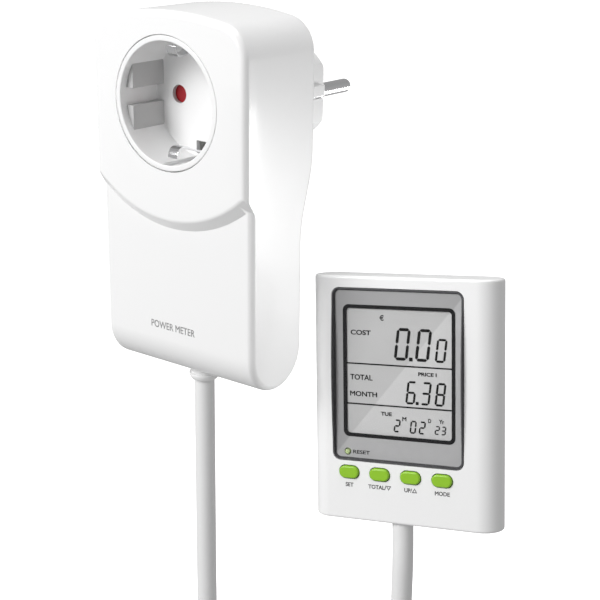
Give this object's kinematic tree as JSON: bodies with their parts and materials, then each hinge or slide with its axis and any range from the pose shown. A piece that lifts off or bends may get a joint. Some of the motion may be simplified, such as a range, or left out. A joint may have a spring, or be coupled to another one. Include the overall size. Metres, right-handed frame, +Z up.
{
  "type": "plug-in power meter",
  "caption": "Wall-plug energy meter: a socket module with a plug on its back, joined by a cord to a slim remote display with a liquid crystal screen and round-ended keys",
  "frame": {"origin": "centre of the plug's flat end face, where it meets the bottom of a wall socket", "axes": "+Y points into the wall along the plug pins, the front faces -Y, +Z is up, and +X is to the right seen from the front"},
  "size_m": [0.1377, 0.0835, 0.3351],
  "materials": {
    "gloss_white": "smooth glossy white moulding",
    "insert_white": "satin white moulding",
    "inner_plastic": "matte heat-resistant moulding",
    "shutter_red": "matte red moulding",
    "nickel": "bright nickel plating",
    "bronze": "bare spring bronze",
    "steel": "zinc-plated steel",
    "board_green": "solder-masked board",
    "black_plastic": "matte black moulding",
    "capacitor_yellow": "dipped yellow resin",
    "panel_silver": "fine satin silver",
    "window_clear": "polished clear acrylic",
    "lcd_grey": "grey reflective liquid crystal panel",
    "button_green": "satin lime green moulding",
    "rubber_grey": "soft grey silicone",
    "cord_white": "smooth white flexible sheath",
    "tie_black": "soft black strap"
  },
  "bodies": {
    "meter": {"module_housing": "gloss_white", "module_back_cover": "gloss_white", "plug_body": "gloss_white", "module_strain_relief": "gloss_white", "display_front_shell": "gloss_white", "display_rear_shell": "gloss_white", "display_strain_relief": "gloss_white", "socket_insert": "insert_white", "cord_connector": "insert_white", "contact_carrier": "inner_plastic", "plug_pin_left": "nickel", "plug_pin_right": "nickel", "plug_earth_strip_top": "nickel", "plug_earth_strip_bottom": "nickel", "socket_contact_left": "bronze", "socket_contact_right": "bronze", "current_shunt": "bronze", "back_cover_screw_1": "steel", "back_cover_screw_2": "steel", "back_cover_screw_3": "steel", "back_cover_screw_4": "steel", "display_screw_1": "steel", "display_screw_2": "steel", "display_screw_3": "steel", "display_screw_4": "steel", "shutter_post": "steel", "shutter_spring": "steel", "backup_cell": "steel", "meter_board": "board_green", "display_board": "board_green", "metering_chip": "black_plastic", "reservoir_capacitor": "black_plastic", "display_chip": "black_plastic", "reset_switch": "black_plastic", "cell_holder": "black_plastic", "supply_capacitor": "capacitor_yellow", "surge_varistor": "capacitor_yellow", "bezel_panel": "panel_silver", "window_lens": "window_clear", "lcd_glass": "lcd_grey", "key_mat": "rubber_grey", "zebra_strip_top": "rubber_grey", "zebra_strip_bottom": "rubber_grey", "cord_module_lead": "cord_white", "cord_display_lead": "cord_white", "cord_coil": "cord_white", "cord_tie": "tie_black"},
    "shutter": {"pin_shutter": "shutter_red"},
    "earth_clip_top": {"socket_earth_clip_top": "nickel"},
    "earth_clip_bottom": {"socket_earth_clip_bottom": "nickel"},
    "set_key": {"set_button": "button_green"},
    "total_key": {"total_button": "button_green"},
    "up_key": {"up_button": "button_green"},
    "mode_key": {"mode_button": "button_green"},
    "reset_key": {"reset_button": "button_green"},
    "battery_cover": {"battery_door": "gloss_white"}
  },
  "joints": [
    {"name": "shutter_turn", "type": "hinge", "parent": "meter", "child": "shutter", "pos_m": [0, -0.04555, 0.003], "axis": [0, 1, 0], "range_deg": [0, 46], "stiffness_Nm_per_rad": 0.02},
    {"name": "earth_clip_top_flex", "type": "hinge", "parent": "meter", "child": "earth_clip_top", "pos_m": [0, -0.042, 0.02025], "axis": [1, 0, 0], "range_deg": [-5, 0], "stiffness_Nm_per_rad": 1.5},
    {"name": "earth_clip_bottom_flex", "type": "hinge", "parent": "meter", "child": "earth_clip_bottom", "pos_m": [0, -0.042, -0.01425], "axis": [1, 0, 0], "range_deg": [0, 5], "stiffness_Nm_per_rad": 1.5},
    {"name": "set_key_press", "type": "slide", "parent": "meter", "child": "set_key", "axis": [-0.1837, 0.9678, -0.1719], "range_m": [0, 0.0005], "stiffness_N_per_m": 2500},
    {"name": "total_key_press", "type": "slide", "parent": "meter", "child": "total_key", "axis": [-0.1837, 0.9678, -0.1719], "range_m": [0, 0.0005], "stiffness_N_per_m": 2500},
    {"name": "up_key_press", "type": "slide", "parent": "meter", "child": "up_key", "axis": [-0.1837, 0.9678, -0.1719], "range_m": [0, 0.0005], "stiffness_N_per_m": 2500},
    {"name": "mode_key_press", "type": "slide", "parent": "meter", "child": "mode_key", "axis": [-0.1837, 0.9678, -0.1719], "range_m": [0, 0.0005], "stiffness_N_per_m": 2500},
    {"name": "reset_key_press", "type": "slide", "parent": "meter", "child": "reset_key", "axis": [-0.1837, 0.9678, -0.1719], "range_m": [0, 0.0005], "stiffness_N_per_m": 2500},
    {"name": "battery_cover_slide", "type": "slide", "parent": "meter", "child": "battery_cover", "axis": [0.1431, -0.1467, -0.9788], "range_m": [0, 0.012]}
  ]
}
